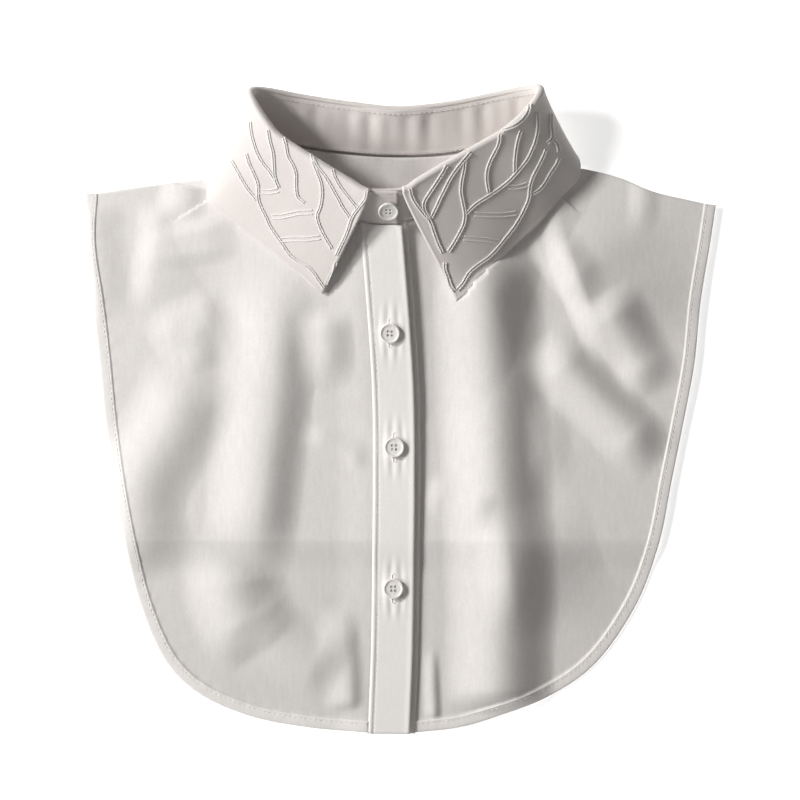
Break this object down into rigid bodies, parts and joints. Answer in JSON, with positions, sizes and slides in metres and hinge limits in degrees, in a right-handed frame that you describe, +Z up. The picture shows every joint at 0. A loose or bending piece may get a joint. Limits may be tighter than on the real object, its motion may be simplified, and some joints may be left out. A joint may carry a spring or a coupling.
{
  "type": "detachable bib shirt collar",
  "caption": "Detachable pointed shirt collar with a buttoned bib front and a short back, lying flat on its back, with a corded leaf pattern on the points.",
  "frame": {"origin": "bottom centre of the whole collar as it lies on its back on a surface", "axes": "+Z up from the surface, out of the chest; +Y to the rear of the neck; +X to the wearer's left"},
  "size_m": [0.353, 0.3612, 0.0406],
  "materials": {
    "bib_cloth": "matt crepe with a fine vertical grain, slightly sheer",
    "band_cloth": "doubled matt crepe with edge stitching",
    "collar_cloth": "smooth fused crepe with corded embroidery on the points",
    "button": "glossy, slightly translucent white"
  },
  "bodies": {
    "root": {"front_right_panel": "bib_cloth", "front_left_panel": "bib_cloth", "back_panel": "bib_cloth", "hem_right": "band_cloth", "hem_left": "band_cloth", "hem_back": "band_cloth", "under_placket": "band_cloth", "placket": "band_cloth", "collar_stand": "collar_cloth", "collar_fall": "collar_cloth", "button_1": "button", "button_2": "button", "button_3": "button", "button_stand": "button"}
  },
  "joints": []
}
